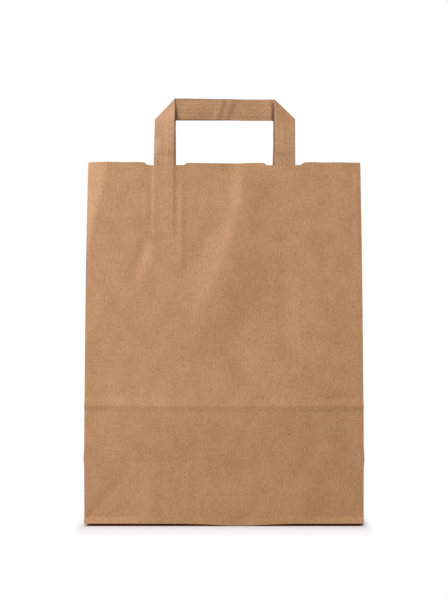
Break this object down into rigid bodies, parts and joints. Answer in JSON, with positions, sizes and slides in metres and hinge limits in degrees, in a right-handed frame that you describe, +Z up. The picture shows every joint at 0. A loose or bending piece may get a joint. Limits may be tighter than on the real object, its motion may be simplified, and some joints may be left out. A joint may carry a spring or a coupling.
{
  "type": "paper carrier bag",
  "caption": "Block-bottom kraft paper carrier bag standing open, with gusseted sides and two flat folded paper handles glued inside the mouth.",
  "frame": {"origin": "on the standing surface, under the middle of the base", "axes": "+Z up through the mouth, +X across the wide front wall, -Y out of the front wall"},
  "size_m": [0.328, 0.1401, 0.4928],
  "materials": {
    "kraft_paper": "unprinted brown kraft, matt, machine-ribbed",
    "kraft_tape": "folded brown kraft tape, slightly lighter and smoother than the body"
  },
  "bodies": {
    "root": {"bag_body": "kraft_paper", "front_handle": "kraft_tape", "back_handle": "kraft_tape"}
  },
  "joints": []
}
